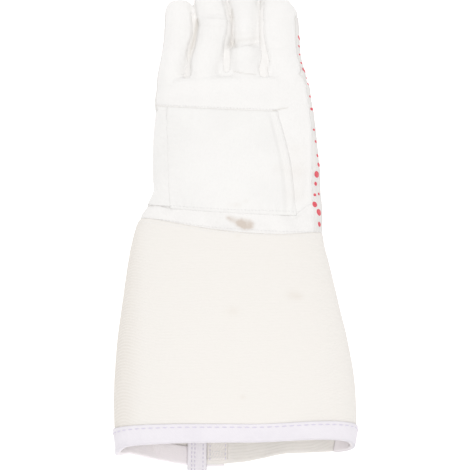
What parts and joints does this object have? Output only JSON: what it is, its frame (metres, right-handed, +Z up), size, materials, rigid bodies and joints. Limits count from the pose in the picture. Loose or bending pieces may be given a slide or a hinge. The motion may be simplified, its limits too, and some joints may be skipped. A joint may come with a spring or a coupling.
{
  "type": "fencing glove",
  "caption": "Left-hand fencing glove with a long flared cloth gauntlet, slit on the palm side, and a quilted pad on the back of the hand.",
  "frame": {"origin": "centre of the glove's bounding box in plan, on the surface that the glove lies on", "axes": "+Y from the gauntlet's hem towards the fingertips, +Z up through the back of the hand, +X towards the index finger and thumb"},
  "size_m": [0.17, 0.3952, 0.0563],
  "materials": {
    "hand_leather": "soft white leather, matt",
    "palm_leather": "white suede with moulded grip dots",
    "pad_leather": "soft white leather over thin foam",
    "band_leather": "white leather with light brown stains",
    "cuff_cloth": "cream ribbed weave, slightly glossy threads",
    "hem_tape": "cool white woven tape",
    "facing_cloth": "grey cream ribbed lining side",
    "grip_dots": "red moulded dots",
    "thread": "off-white sewing thread"
  },
  "bodies": {
    "root": {"cuff": "cuff_cloth", "hem_binding": "hem_tape", "slit_binding": "hem_tape", "slit_facing": "facing_cloth", "hand_back": "hand_leather", "wrist_band": "band_leather", "hand_palm": "palm_leather", "thumb": "palm_leather", "back_pad": "pad_leather", "side_pad": "pad_leather", "fourchette_little_ring": "hand_leather", "fourchette_ring_middle": "hand_leather", "fourchette_middle_index": "hand_leather"}
  },
  "joints": []
}
